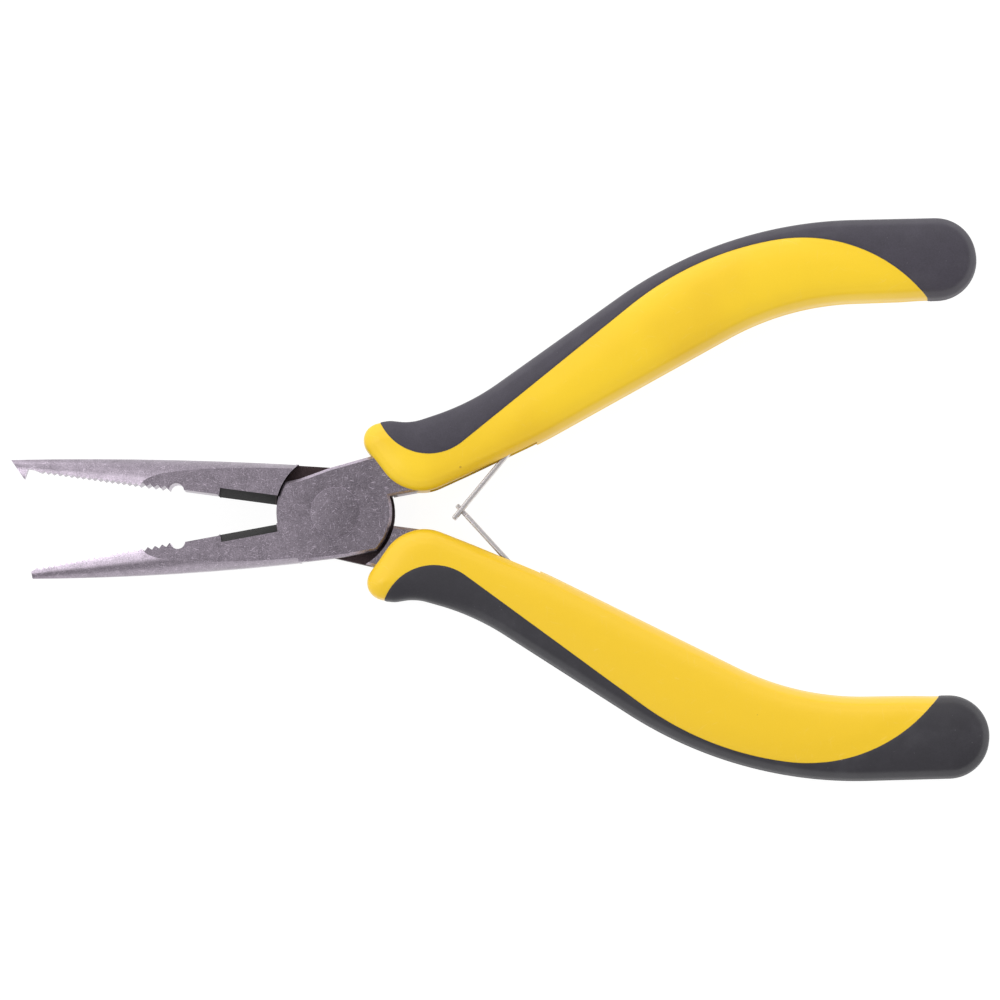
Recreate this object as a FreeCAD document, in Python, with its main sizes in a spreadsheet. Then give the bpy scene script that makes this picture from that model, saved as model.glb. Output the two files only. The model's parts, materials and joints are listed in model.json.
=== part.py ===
import FreeCAD, Part
import math
import os
from FreeCAD import Placement, Rotation, Vector

# Split-ring fishing pliers: two forged steel levers on a flush rivet, two interlocking
# leaf springs and two-material grips.
#
# Every piece of a lever is drawn in the lever's own frame, with the tool closed: pivot axis
# on Z, jaw along -X just under the X axis, handle along +X above it, joint plate on the +Z
# side. The front lever turns from there by half the opening angle. The rear lever is the
# same drawing turned over about X. Lengths are in millimetres and angles in degrees.

sizes = [
    ("openHalf", 9.05, "half the angle between the jaws at rest"),
    ("faceGap", 0.05, "each jaw face stands back from the closed line"),
    ("steelThick", 8.0, "thickness of the forging"),
    ("jawReach", 42.6, "pivot to the plain jaw's tip"),
    ("tipGap", 0.12, "plain jaw's tip to the hook tooth"),
    ("hookLength", 2.5, "hook tooth along the jaw"),
    ("hookHeight", 1.1, "hook tooth past the closed line"),
    ("hookLean", 0.3, "lean of the hook tooth's inner face"),
    ("lipLength", 0.8, "plain lip of each jaw behind its tip"),
    ("tipDepth", 1.3, "jaw depth at the tip"),
    ("jawDepth", 4.4, "jaw depth half way"),
    ("waistDepth", 6.2, "jaw depth at the pivot"),
    ("backSlope", 0.7, "fall of the joint's back from the neck to the toe"),
    ("noseTipThick", 2.9, "nose thickness at the plain jaw's tip"),
    ("noseFlat", 15.7, "from the tip to where the nose is as thick as the forging"),
    ("noseBoxiness", 2.25, "nose section, from 2 for an ellipse up to a box"),
    ("noseStrip", 0.15, "how far the outer edge cuts the round nose flat"),
    ("toeRadius", 8.1, "joint plate towards the jaws"),
    ("toeDrop", 0.89, "depth of the joint at the pivot to the top of its toe"),
    ("frontHeel", 7.75, "front joint plate towards the handles"),
    ("rearHeel", 8.1, "rear joint plate towards the handles"),
    ("shoulderGap", 0.15, "joint plate to the other lever's shoulder"),
    ("lapGap", 0.08, "between the two joint plates"),
    ("edgeBreak", 0.35, "ground edge of the joint"),
    ("toothPitch", 0.8, "jaw serration"),
    ("toothDepth", 0.32, "jaw serration"),
    ("toothLead", 1.4, "plain jaw's tip to the first tooth"),
    ("gripToothPitch", 1.0, "coarse teeth beside the notch"),
    ("gripToothDepth", 0.45, "coarse teeth beside the notch"),
    ("gripToothCount", 4, "coarse teeth beside the notch"),
    ("notchPlace", 22.0, "pivot to the crimping notch"),
    ("notchRadius", 1.05, "crimping notch"),
    ("cutterStart", 16.0, "pivot to the front of the wire cutter"),
    ("cutterProud", 0.22, "cutting edge above the jaw face beside it"),
    ("cutterBevel", 1.15, "cutter bevel seen from the side"),
    ("cutterLand", 0.15, "half the thickness of the cutting edge"),
    ("rivetRadius", 2.6, "pivot rivet's shank"),
    ("rivetFlare", 0.8, "pivot rivet's flush head beyond its shank"),
    ("rivetSink", 1.1, "depth of the rivet's countersink"),
    ("rivetGap", 0.04, "running fit on the pivot rivet"),
    ("tangThick", 5.0, "steel inside the grip"),
    ("tangStep", 15.0, "pivot to where the steel thins"),
    ("tangLead", 0.7, "spring slot back to where the steel's inner edge starts to climb"),
    ("tangInner", 0.8, "inner edge of the steel above the closed line"),
    ("tangClimb", 26.48, "climb of the inner edge, over the whole length of the grip"),
    ("tangShare", 0.6, "end of the steel, as a share of the grip's length"),
    ("tangCurve", 0.25, "curved end of the steel, as a share of the grip's length"),
    ("tangLift", 9.6, "climb of the curved end"),
    ("tangDepth", 4.1, "steel's depth at its end"),
    ("neckRise", 1.25, "top of the neck above the depth of the joint"),
    ("gripThick", 11.2, "grip from face to face"),
    ("gripRound", 2.4, "rounded edge of the grip"),
    ("gripFront", 5.4, "pivot to the front of the grip"),
    ("gripReach", 93.1, "pivot to the end of the grip"),
    ("gripLip", 1.5, "upper front lip of the grip, ahead of its front"),
    ("gripTail", 5.6, "round end of the grip"),
    ("gripDrawn", 87.7, "grip length that its long curves are drawn for"),
    ("tailPlace", 18.475, "middle of the round end above the closed line"),
    ("sleeveThick", 1.3, "rubber over the hard core"),
    ("slotStart", 13.3, "pivot to the spring slot"),
    ("slotEnd", 28.9, "pivot to the end of the spring slot"),
    ("slotGap", 0.5, "leaf's edge to the side of the spring slot"),
    ("leafThick", 0.6, "leaf spring"),
    ("leafWidth", 5.0, "leaf spring"),
    ("leafAnchor", 25.5, "pivot to where the leaf bends, along the tool"),
    ("leafAngle", 39.85, "free leaf to the closed line"),
    ("footLength", 8.0, "clamped end of the leaf"),
    ("footGap", 0.45, "bend to the start of the clamped end"),
    ("tongueWidth", 2.0, "narrow end of the plain leaf"),
    ("tongueGap", 0.3, "tongue to the side of its slot"),
    ("tongueStart", 0.95, "crossing back to the tongue's shoulder"),
    ("tonguePast", 0.85, "crossing on to the tongue's tip"),
    ("windowBack", 1.0, "crossing back to the start of the window"),
    ("windowPast", 0.95, "crossing on to the end of the window"),
    ("windowBar", 0.65, "bar that closes the window"),
    ("studRadius", 0.75, "leaf rivet's shank"),
    ("studHead", 1.35, "leaf rivet's head"),
    ("studHeadHigh", 0.5, "leaf rivet's head"),
    ("studDepth", 2.6, "leaf rivet in the steel"),
    ("studPlace", 5.2, "bend to the leaf rivet"),
    # these follow from the rows above
    ("rivetHead", "=rivetRadius + rivetFlare", "pivot rivet's flush head"),
    ("gripSpan", "=gripReach - gripFront", "length of the grip"),
    ("longCurve", "=(gripSpan / gripDrawn)^2", "change of the grip's long radii with its length"),
    ("tangReach", "=gripFront + tangShare * gripSpan", "pivot to the end of the steel"),
    ("slotWidth", "=leafWidth + 2 * slotGap", "spring slot across the grip"),
    ("coarseEnd", "=notchPlace + notchRadius + (gripToothCount + 0.1) * gripToothPitch",
     "pivot to the front of the coarse teeth"),
    ("toothCount", "=floor((jawReach - toothLead - coarseEnd) / toothPitch - 0.5) + 1",
     "fine teeth that fit in front of the coarse ones"),
]

doc = FreeCAD.newDocument("FishingPliers")
sheet = doc.addObject("Spreadsheet::Sheet", "Sizes")
for row, (alias, value, note) in enumerate(sizes, start=1):
    sheet.set("A%d" % row, note)
    sheet.set("B%d" % row, str(value))
    sheet.setAlias("B%d" % row, alias)
doc.recompute()


def size(alias):
    return float(sheet.get(alias))


def bind(thing, prop, formula):
    # formula uses the sheet's aliases after a dollar sign
    thing.setExpression(prop, formula.replace("$", "Sizes."))


# ---------------------------------------------------------------- outlines

def line(a, b):
    return Part.LineSegment(Vector(a[0], a[1], 0), Vector(b[0], b[1], 0))


def arc(a, via, b):
    return Part.Arc(Vector(a[0], a[1], 0), Vector(via[0], via[1], 0), Vector(b[0], b[1], 0))


def onCircle(radius, degrees):
    angle = math.radians(degrees)
    return (radius * math.cos(angle), radius * math.sin(angle))


def cornerFrame(before, here, after):
    # directions towards both neighbours, and half the angle between them
    back = Vector(before[0] - here[0], before[1] - here[1], 0).normalize()
    ahead = Vector(after[0] - here[0], after[1] - here[1], 0).normalize()
    return back, ahead, back.getAngle(ahead) / 2


def roundedCorner(before, corner, after):
    # where an arc of the corner's radius meets both sides, and its middle point
    x, y, radius = corner
    here = Vector(x, y, 0)
    back, ahead, half = cornerFrame(before, corner, after)
    reach = radius / math.tan(half)
    middle = (back + ahead).normalize() * (radius / math.sin(half) - radius)
    return here + back * reach, here + middle, here + ahead * reach


def roundedOutline(corners):
    # a closed outline of straight sides with a tangent arc of its own radius at each corner
    arcs = []
    for i, corner in enumerate(corners):
        arcs.append(roundedCorner(corners[i - 1], corner, corners[(i + 1) % len(corners)]))
    curves = []
    for i, (start, middle, end) in enumerate(arcs):
        if corners[i][2] > 0:
            curves.append(Part.Arc(start, middle, end))
        curves.append(Part.LineSegment(end, arcs[(i + 1) % len(arcs)][0]))
    return curves


def insetCorners(corners, inset):
    # the same outline moved in by inset; the corners run anticlockwise
    count = len(corners)
    result = []
    for i, (x, y, radius) in enumerate(corners):
        back, ahead, half = cornerFrame(corners[i - 1], (x, y), corners[(i + 1) % count])
        turn = back.x * ahead.y - back.y * ahead.x
        inward = (back + ahead).normalize() * (-1 if turn > 0 else 1)
        moved = Vector(x, y, 0) + inward * (inset / math.sin(half))
        change = inset if turn > 0 else -inset
        result.append((moved.x, moved.y, max(radius + change, 0.3)))
    return result


def polygon(points):
    return [line(points[i - 1], points[i]) for i in range(len(points))]


# ---------------------------------------------------------------- features

def newBody(name):
    return doc.addObject("PartDesign::Body", name)


def plane(body, role):
    for feature in body.Origin.OriginFeatures:
        if feature.Role == role:
            return feature
    raise ValueError("no %s in %s" % (role, body.Name))


def newSketch(body, name, curves, role="XY_Plane", height=0.0):
    sketch = body.newObject("Sketcher::SketchObject", name)
    sketch.AttachmentSupport = [(plane(body, role), "")]
    sketch.MapMode = "FlatFace"
    sketch.AttachmentOffset = Placement(Vector(0, 0, height), Rotation())
    sketch.addGeometry(curves, False)
    return sketch


def pad(body, name, curves, thickness):
    feature = body.newObject("PartDesign::Pad", name)
    feature.Profile = newSketch(body, name + "Sketch", curves)
    bind(feature, "Length", thickness)
    feature.Midplane = True
    doc.recompute()
    return feature


def pocket(body, name, curves, depth, through=True, height=0.0, role="XY_Plane"):
    before = body.Shape.Volume
    feature = body.newObject("PartDesign::Pocket", name)
    feature.Profile = newSketch(body, name + "Sketch", curves, role, height)
    bind(feature, "Length", depth)
    feature.Midplane = through
    doc.recompute()
    if body.Shape.Volume > before - 1e-4:
        raise ValueError(name + " cuts nothing")
    return feature


def pattern(body, name, feature, count, pitch):
    # copies of a cut along the jaw, towards the tip
    copies = body.newObject("PartDesign::LinearPattern", name)
    copies.Originals = [feature]
    copies.Direction = (feature.Profile[0], ["H_Axis"])
    copies.Reversed = True
    bind(copies, "Length", "(%s - 1) * %s" % (count, pitch))
    bind(copies, "Occurrences", count)
    body.Tip = copies
    doc.recompute()


def combine(kind, name, base, tool):
    result = doc.addObject(kind, name)
    result.Base = base
    result.Tool = tool
    doc.recompute()
    return result


def cutAll(name, base, tools):
    for index, tool in enumerate(tools):
        base = combine("Part::Cut", "%sCut%d" % (name, index + 1), base, tool)
    return base


# ---------------------------------------------------------------- steel levers

def outerArc(tipReach):
    # the jaw's outer edge: a circle through the tip, half way and the pivot
    tip = (-tipReach, -size("tipDepth"))
    middle = (-size("jawReach") / 2, -size("jawDepth"))
    waist = (0.0, -size("waistDepth"))
    return arc(tip, middle, waist)


def depthAt(edge, x):
    # depth of the jaw at x, on the circle of its outer edge
    circle = edge.toShape().Curve
    centre = circle.Center
    return math.sqrt(circle.Radius ** 2 - (x - centre.x) ** 2) - centre.y


def hookLine():
    # where the hook tooth's inner face stands, just past the plain jaw's tip
    return size("jawReach") + size("tipGap")


def tipReach(hooked):
    return hookLine() + size("hookLength") if hooked else size("jawReach")


def tipPoints(hooked):
    # the jaw's end from its face round to its outer edge
    face = -size("faceGap")
    lip = face - size("toothDepth")
    end = (-tipReach(hooked), -size("tipDepth"))
    if hooked:
        root = hookLine()
        plain = size("lipLength")
        tooth = (-root - size("hookLean"), size("hookHeight"))
        return [(-root + 2.5 * plain, face), (-root + plain, lip), (-root, lip), tooth, end]
    return [(-size("jawReach") + size("lipLength"), face), (-size("jawReach"), lip), end]


def tangRise():
    # slope of the steel's inner edge in the grip
    return math.degrees(math.atan(size("tangClimb") / size("gripSpan")))


def tangStart():
    return size("slotStart") - size("tangLead")


def tangLine(x):
    # inner edge of the steel in the grip
    return size("tangInner") + (x - tangStart()) * math.tan(math.radians(tangRise()))


def leverOutline(hooked):
    # jaw, joint plate and the short full-thickness neck that enters the grip
    face = -size("faceGap")
    toe = size("toeRadius")
    heel = size("rearHeel") if hooked else size("frontHeel")
    waist = size("waistDepth")
    inner = size("tangInner")
    neck = size("tangStep")
    toeFace = (-math.sqrt(toe ** 2 - face ** 2), face)
    toeTop = (-math.sqrt(toe ** 2 - (waist - size("toeDrop")) ** 2), waist - size("toeDrop"))
    heelLow = (math.sqrt(heel ** 2 - waist ** 2), -waist)
    heelHigh = (math.sqrt(heel ** 2 - inner ** 2), inner)
    slope = size("backSlope")
    back = [heelHigh, (tangStart(), inner), (neck, tangLine(neck)),
            (neck, waist + size("neckRise"))]
    top = [(0.3, waist - 0.1), (-3.9, waist - 0.1 - slope), toeTop]
    tip = tipPoints(hooked)
    step = (-size("cutterStart"), face - size("cutterProud"))
    edge = outerArc(tipReach(hooked))
    curves = [edge, line((0.0, -waist), heelLow)]
    curves.append(arc(heelLow, onCircle(heel, -20), heelHigh))
    run = back + top
    curves += [line(run[i], run[i + 1]) for i in range(len(run) - 1)]
    curves.append(arc(toeTop, onCircle(toe, 160), toeFace))
    # the wire cutter stands proud of the plain stretch between it and the notch
    ledge = (-size("cutterStart") - 0.4, step[1])
    inNotch = 0.86 * size("notchRadius")
    rise = (-size("notchPlace") + inNotch, step[1])
    front = (-size("notchPlace") - inNotch, face)
    run = [toeFace, (step[0], face), ledge, rise, front] + tip
    curves += [line(run[i], run[i + 1]) for i in range(len(run) - 1)]
    return curves


def tangOutline():
    # the thin strap that runs on inside the grip
    step = size("tangStep") - 2.5
    reach = size("tangReach")
    bend = reach - size("tangCurve") * size("gripSpan")
    low = tangLine(bend) + size("tangLift")
    high = size("waistDepth") + size("neckRise")
    return roundedOutline([
        (step, tangLine(step + 0.1), 0.2),
        (bend, tangLine(bend), 30.0),
        (reach, low, 1.6),
        (reach - 1.5, low + size("tangDepth"), 1.6),
        (step + 4.5, high, 12.0),
        (step, high - 0.4, 0.2),
    ])


def groundEdges(shape):
    # edges of both flat faces, except the jaw's working face and the neck's end in the grip
    half = size("steelThick") / 2
    names = []
    for index, edge in enumerate(shape.Edges, start=1):
        box = edge.BoundBox
        flat = abs(abs(box.ZMin) - half) < 1e-6 and box.ZLength < 1e-6
        face = box.YMin > -1.0 and box.XMax < 0.3 - size("toeRadius")
        tip = box.XMax < 3.0 - size("jawReach")
        neck = box.XMin > size("tangStep") - 0.01
        if flat and not face and not tip and not neck:
            names.append("Edge%d" % index)
    return names


def tooth(place, depth, pitch):
    # one groove across the jaw's face, as deep as it is half wide
    top = 0.3
    half = pitch / 2 * (depth + top) / depth
    face = -size("faceGap")
    return polygon([(place - half, face + top), (place, face - depth), (place + half, face + top)])


def cutterWedge(side):
    # what is ground off one side of the cutting edge, which stays at mid-thickness
    half = size("steelThick") / 2
    face = -size("faceGap")
    land = size("cutterLand")
    steep = (half - land) / size("cutterBevel")
    low = land - 0.2 * steep
    points = [(face + 0.2, low), (face + 0.2 - (half + 1 - low) / steep, half + 1),
              (face + 1, half + 1), (face + 1, low)]
    return polygon([(y, side * z) for y, z in points])


def makeLever(name, hooked):
    body = newBody(name)
    block = pad(body, name + "Forging", leverOutline(hooked), "$steelThick")
    chamfer = body.newObject("PartDesign::Chamfer", name + "EdgeBreak")
    chamfer.Base = (block, groundEdges(block.Shape))
    bind(chamfer, "Size", "$edgeBreak")
    doc.recompute()
    pad(body, name + "Tang", tangOutline(), "$tangThick")

    # half of the joint's thickness makes room for the other lever's plate
    lap = Part.Circle(Vector(0, 0, 0), Vector(0, 0, 1), size("toeRadius") + size("shoulderGap"))
    pocket(body, name + "Lap", [lap], "$steelThick", False, size("lapGap") / 2)

    # on the open side of the lap the wedge runs on into the space over it
    root = -size("toeRadius") - size("shoulderGap")
    for side, past in ((1, 0.0), (-1, 1.0)):
        pocket(body, name + ("Front" if side > 0 else "Back") + "Cutter", cutterWedge(side),
               "$cutterStart - $toeRadius - $shoulderGap + %g" % (0.1 + past), False,
               root + past, "YZ_Plane")

    crimp = Part.Circle(Vector(-size("notchPlace"), 0, 0), Vector(0, 0, 1), size("notchRadius"))
    pocket(body, name + "Notch", [crimp], "$steelThick * 2")

    # the hooked jaw has one tooth fewer, behind its lip
    fine = size("toothPitch") * (size("toothCount") - 1) + size("toothLead") - size("jawReach")
    count = "($toothCount - 1)" if hooked else "$toothCount"
    teeth = pocket(body, name + "Teeth",
                   tooth(fine, size("toothDepth"), size("toothPitch")), "$steelThick * 2")
    pattern(body, name + "TeethRow", teeth, count, "$toothPitch")
    coarse = -size("notchPlace") - size("notchRadius") - size("gripToothPitch") * 0.6
    teeth = pocket(body, name + "CoarseTeeth",
                   tooth(coarse, size("gripToothDepth"), size("gripToothPitch")), "$steelThick * 2")
    pattern(body, name + "CoarseRow", teeth, "$gripToothCount", "$gripToothPitch")
    return body


def noseRelief(name, hooked):
    # what is ground off to leave the round, tapered nose: sections are superellipses
    edge = outerArc(tipReach(hooked))
    boxiness = size("noseBoxiness")
    tipX = -size("jawReach")
    flatX = tipX + size("noseFlat")
    slope = (size("steelThick") - size("noseTipThick")) / 2 / size("noseFlat")
    rootX = 2.0 - size("toeRadius")
    start = -tipReach(hooked) - 1.5
    wires = []
    for step in range(6):
        x = start + (rootX - start) * step / 5
        wide = depthAt(edge, max(x, -tipReach(hooked))) + size("noseStrip")
        thick = size("steelThick") / 2 + slope * (x - flatX)
        points = []
        for turn in range(32):
            angle = 2 * math.pi * (turn + 0.5) / 32
            y = math.copysign(abs(math.cos(angle)) ** (2 / boxiness), math.cos(angle))
            z = math.copysign(abs(math.sin(angle)) ** (2 / boxiness), math.sin(angle))
            points.append(Vector(x, wide * y, thick * z))
        curve = Part.BSplineCurve()
        curve.interpolate(Points=points, PeriodicFlag=True)
        wires.append(Part.Wire([curve.toShape()]))
    nose = Part.makeLoft(wires, True, False)
    room = size("steelThick") / 2 + 1
    deep = size("waistDepth") + 2
    block = Part.makeBox(rootX - start - 0.2, 2 * deep, 2 * room,
                         Vector(start + 0.1, -deep, -room))
    relief = doc.addObject("Part::Feature", name)
    relief.Shape = block.cut(nose)
    return relief


def rivetProfile(gap):
    # half section of the flush rivet, or with a gap of the hole that it sits in
    top = size("steelThick") / 2
    shank = size("rivetRadius") + gap
    head = size("rivetHead") + gap
    sink = top - size("rivetSink")
    return polygon([(0, -top), (head, -top), (shank, -sink), (shank, sink), (head, top), (0, top)])


def turned(name, curves):
    # a solid of revolution about Z
    body = newBody(name)
    feature = body.newObject("PartDesign::Revolution", name + "Turn")
    sketch = newSketch(body, name + "Sketch", curves, "XZ_Plane")
    feature.Profile = sketch
    feature.ReferenceAxis = (sketch, ["V_Axis"])
    feature.Angle = 360
    doc.recompute()
    return body


# ---------------------------------------------------------------- leaf springs

def along(start, degrees, reach, side=0.0):
    # a point at reach along a direction, and side to its left
    angle = math.radians(degrees)
    return (start[0] + reach * math.cos(angle) - side * math.sin(angle),
            start[1] + reach * math.sin(angle) + side * math.cos(angle))


def leafAnchor():
    # the bend lies half a leaf below the steel's inner edge
    x = size("leafAnchor")
    drop = size("leafThick") / 2 / math.cos(math.radians(tangRise()))
    return (x, tangLine(x) - drop)


def leafCross():
    # from the bend to where the leaves cross, midway between the levers at rest
    x, y = leafAnchor()
    half = math.radians(size("openHalf"))
    height = x * math.sin(half) + y * math.cos(half)
    return height / math.sin(math.radians(size("leafAngle")) + half)


def strip(start, degrees, first, last, thick):
    half = thick / 2
    return polygon([along(start, degrees, first, -half), along(start, degrees, last, -half),
                    along(start, degrees, last, half), along(start, degrees, first, half)])


def makeFoot(name):
    body = newBody(name)
    last = size("footGap") + size("footLength")
    pad(body, name + "Strip",
        strip(leafAnchor(), tangRise(), size("footGap"), last, size("leafThick")),
        "$leafWidth")
    return body


def rootedStrip(last):
    # a leaf with a round root at the bend
    start = leafAnchor()
    way = 180 + size("leafAngle")
    half = size("leafThick") / 2
    low = along(start, way, 0, -half)
    high = along(start, way, 0, half)
    farHigh = along(start, way, last, half)
    farLow = along(start, way, last, -half)
    root = along(start, way, -half)
    return [arc(low, root, high), line(high, farHigh), line(farHigh, farLow), line(farLow, low)]


def makeTonguedLeaf(name):
    body = newBody(name)
    start = leafAnchor()
    way = 180 + size("leafAngle")
    shoulder = leafCross() - size("tongueStart")
    tip = leafCross() + size("tonguePast")
    pad(body, name + "Blade", rootedStrip(shoulder), "$leafWidth")
    pad(body, name + "Tongue", strip(start, way, shoulder, tip, size("leafThick")), "$tongueWidth")
    return body


def makeSlottedLeaf(name):
    body = newBody(name)
    start = leafAnchor()
    way = 180 + size("leafAngle")
    first = leafCross() - size("windowBack")
    last = leafCross() + size("windowPast")
    pad(body, name + "Blade", rootedStrip(last + size("windowBar")), "$leafWidth")
    pocket(body, name + "Window", strip(start, way, first, last, size("leafThick") * 2),
           "$tongueWidth + 2 * $tongueGap")
    return body


def makeStud(name):
    # the rivet that holds a leaf's foot to the steel, square to the foot
    foot = leafAnchor()
    rise = tangRise()
    under = -size("leafThick") / 2 - size("studHeadHigh")
    base = along(foot, rise, size("studPlace"), under)
    turn = Rotation(Vector(0, 0, 1), Vector(-math.sin(math.radians(rise)),
                                            math.cos(math.radians(rise)), 0))
    head = doc.addObject("Part::Cylinder", name + "Head")
    bind(head, "Radius", "$studHead")
    bind(head, "Height", "$studHeadHigh")
    shank = doc.addObject("Part::Cylinder", name + "Shank")
    bind(shank, "Radius", "$studRadius")
    bind(shank, "Height", "$studHeadHigh + $leafThick + $studDepth")
    for piece in (head, shank):
        piece.Placement = Placement(Vector(base[0], base[1], 0), turn)
    return combine("Part::Fuse", name, head, shank)


# ---------------------------------------------------------------- grips

def gripCorners():
    # the S-shaped grip, anticlockwise from the front lower corner; lengths along it follow
    # the grip's reach, and heights are its own
    front = size("gripFront")
    end = size("gripReach")
    span = size("gripSpan")
    tail = size("gripTail")
    place = size("tailPlace")
    curve = size("longCurve")
    return [
        (front + 0.050 * span, -0.5, 6.4),
        (front + 0.270 * span, 4.15, 60.0 * curve),
        (front + 0.694 * span, 16.7, 38.0 * curve),
        (end, place - 1.03 * tail, tail),
        (end, place + 1.03 * tail, tail),
        (front + 0.619 * span, 29.65, 58.0 * curve),
        (front + 0.174 * span, 11.45, 34.0 * curve),
        (front + 0.080 * span, 10.25, 7.0 * curve),
        (front + 0.048 * span, 11.1, 3.0),
        (front - size("gripLip"), 11.2, 2.5),
    ]


def colourLine():
    # the hard plastic reaches this far out and back; beyond it the grip is rubber
    front = size("gripFront")
    span = size("gripSpan")
    curve = size("longCurve")
    return roundedOutline([
        (front + 0.025 * span, 13.3, 0.3),
        (front + 0.063 * span, 1.96, 7.25 * curve),
        (front + 0.560 * span, 25.75, 43.0 * curve),
        (front + 0.821 * span, 25.75, 22.0 * curve),
        (front + 0.942 * span, 10.0, 0.5),
        (front + 0.942 * span, -12.0, 1.0),
        (front - 6.0, -12.0, 1.0),
        (front - 6.0, 13.3, 1.0),
    ])


def loopEdges(shape, height):
    names = []
    for index, edge in enumerate(shape.Edges, start=1):
        box = edge.BoundBox
        if box.ZLength < 1e-6 and abs(abs(box.ZMin) - height) < 1e-6:
            names.append("Edge%d" % index)
    return names


def makeGrip(name, lever, foot, stud):
    blank = newBody(name + "Blank")
    block = pad(blank, name + "Block", roundedOutline(gripCorners()), "$gripThick")
    rounding = blank.newObject("PartDesign::Fillet", name + "Rounding")
    rounding.Base = (block, loopEdges(block.Shape, size("gripThick") / 2))
    bind(rounding, "Radius", "$gripRound")
    doc.recompute()

    hard = newBody(name + "Hard")
    pad(hard, name + "HardZone", colourLine(), "$gripThick + 2")
    spine = newBody(name + "Spine")
    pad(spine, name + "SpineBlock",
        roundedOutline(insetCorners(gripCorners(), size("sleeveThick"))),
        "$gripThick - 2 * $sleeveThick")

    # the slot lets the leaf swing down into the grip, as far as the steel's inner edge
    slot = newBody(name + "Slot")
    first = size("slotStart")
    last = size("slotEnd")
    pad(slot, name + "SlotBlock",
        polygon([(first, -4.0), (last, -4.0), (last, tangLine(last)), (first, tangLine(first))]),
        "$slotWidth")

    shell = combine("Part::Common", name + "Shell", blank, hard)
    inside = combine("Part::Common", name + "Inside", spine, blank)
    core = combine("Part::Fuse", name + "Solid", shell, inside)
    core = cutAll(name + "Core", core, [lever, slot, foot, stud])
    sleeve = cutAll(name + "Sleeve", blank, [hard, spine, lever])
    return core, sleeve


# ---------------------------------------------------------------- assembly

def placed(label, source, placement):
    # a finished piece: the drawing stays in the lever's frame and the piece is put in place
    piece = doc.addObject("Part::Compound", label)
    piece.Links = [source]
    piece.Placement = placement
    piece.Label = label
    return piece


turnFront = Placement(Vector(0, 0, 0), Rotation(Vector(0, 0, 1), size("openHalf")))
turnOver = Placement(Vector(0, 0, 0), Rotation(Vector(1, 0, 0), 180))
turnRear = Placement(Vector(0, 0, 0), Rotation(Vector(0, 0, 1), -size("openHalf"))) * turnOver

rivet = turned("PivotRivet", rivetProfile(0.0))
rivetHole = turned("PivotHole", rivetProfile(size("rivetGap")))

pieces = []
levers = [
    ("front_half", "upper", "slotted_leaf", False, turnFront, makeSlottedLeaf),
    ("rear_half", "lower", "tongued_leaf", True, turnRear, makeTonguedLeaf),
]
for label, handle, leafLabel, hooked, turn, makeLeaf in levers:
    lever = makeLever(label + "_blank", hooked)
    foot = makeFoot(leafLabel + "_strip")
    stud = makeStud(handle + "_stud_form")
    leaf = makeLeaf(leafLabel + "_blade")
    relief = noseRelief(label + "_nose_relief", hooked)
    steel = cutAll(label, lever, [relief, rivetHole, stud])
    footDrilled = combine("Part::Cut", leafLabel + "_drilled", foot, stud)
    core, sleeve = makeGrip(handle + "_grip", lever, foot, stud)
    pieces.append(placed(label, steel, turn))
    pieces.append(placed(handle + "_grip_core", core, turn))
    pieces.append(placed(handle + "_grip_sleeve", sleeve, turn))
    pieces.append(placed(leafLabel + "_foot", footDrilled, turn))
    pieces.append(placed(leafLabel, leaf, turn))
    pieces.append(placed(handle + "_leaf_rivet", stud, turn))
pieces.append(placed("pivot_rivet", rivet, Placement()))
doc.recompute()

# the tool lies on its grips, with the origin under the middle of what it covers
whole = FreeCAD.BoundBox()
for piece in pieces:
    whole.add(piece.Shape.optimalBoundingBox(False))
lift = Placement(Vector(-whole.Center.x, -whole.Center.y, -whole.ZMin), Rotation())
for piece in pieces:
    piece.Placement = lift * piece.Placement
doc.recompute()

for thing in doc.Objects:
    if "Invalid" in thing.State or "Error" in thing.State:
        raise ValueError("%s failed: %s" % (thing.Label, thing.State))
for piece in pieces:
    if piece.Shape.isNull() or not piece.Shape.isValid():
        raise ValueError("%s has no sound shape" % piece.Label)

os.makedirs("parts", exist_ok=True)
for piece in pieces:
    piece.Shape.exportStep("parts/%s.step" % piece.Label)
    print("%-20s %d solid(s) %9.2f mm3" % (piece.Label, len(piece.Shape.Solids),
                                          piece.Shape.Volume))
print("pivot at %.4f %.4f %.4f" % tuple(lift.Base))
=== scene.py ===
import json
import math

import bpy
import numpy as np
from mathutils import Matrix, Vector
from mathutils.geometry import delaunay_2d_cdt


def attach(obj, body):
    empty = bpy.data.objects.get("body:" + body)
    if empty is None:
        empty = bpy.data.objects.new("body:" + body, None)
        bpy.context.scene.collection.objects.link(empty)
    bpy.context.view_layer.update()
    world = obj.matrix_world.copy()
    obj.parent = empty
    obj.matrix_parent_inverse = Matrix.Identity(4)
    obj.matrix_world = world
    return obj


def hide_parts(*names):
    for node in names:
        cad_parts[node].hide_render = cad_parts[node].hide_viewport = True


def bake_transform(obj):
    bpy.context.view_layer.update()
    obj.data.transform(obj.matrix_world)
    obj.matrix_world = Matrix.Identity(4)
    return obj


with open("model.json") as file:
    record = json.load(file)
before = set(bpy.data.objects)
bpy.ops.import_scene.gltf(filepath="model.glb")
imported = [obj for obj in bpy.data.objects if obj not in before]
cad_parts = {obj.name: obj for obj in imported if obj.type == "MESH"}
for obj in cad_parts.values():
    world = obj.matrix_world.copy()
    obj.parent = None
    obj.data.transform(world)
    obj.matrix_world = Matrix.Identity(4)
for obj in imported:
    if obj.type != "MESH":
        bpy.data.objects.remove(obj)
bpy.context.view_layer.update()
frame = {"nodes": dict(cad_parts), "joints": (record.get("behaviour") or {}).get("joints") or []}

joints = {joint["name"]: joint for joint in frame["joints"]}
pivot = Vector(joints["main_pivot"]["pos_m"])
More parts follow.
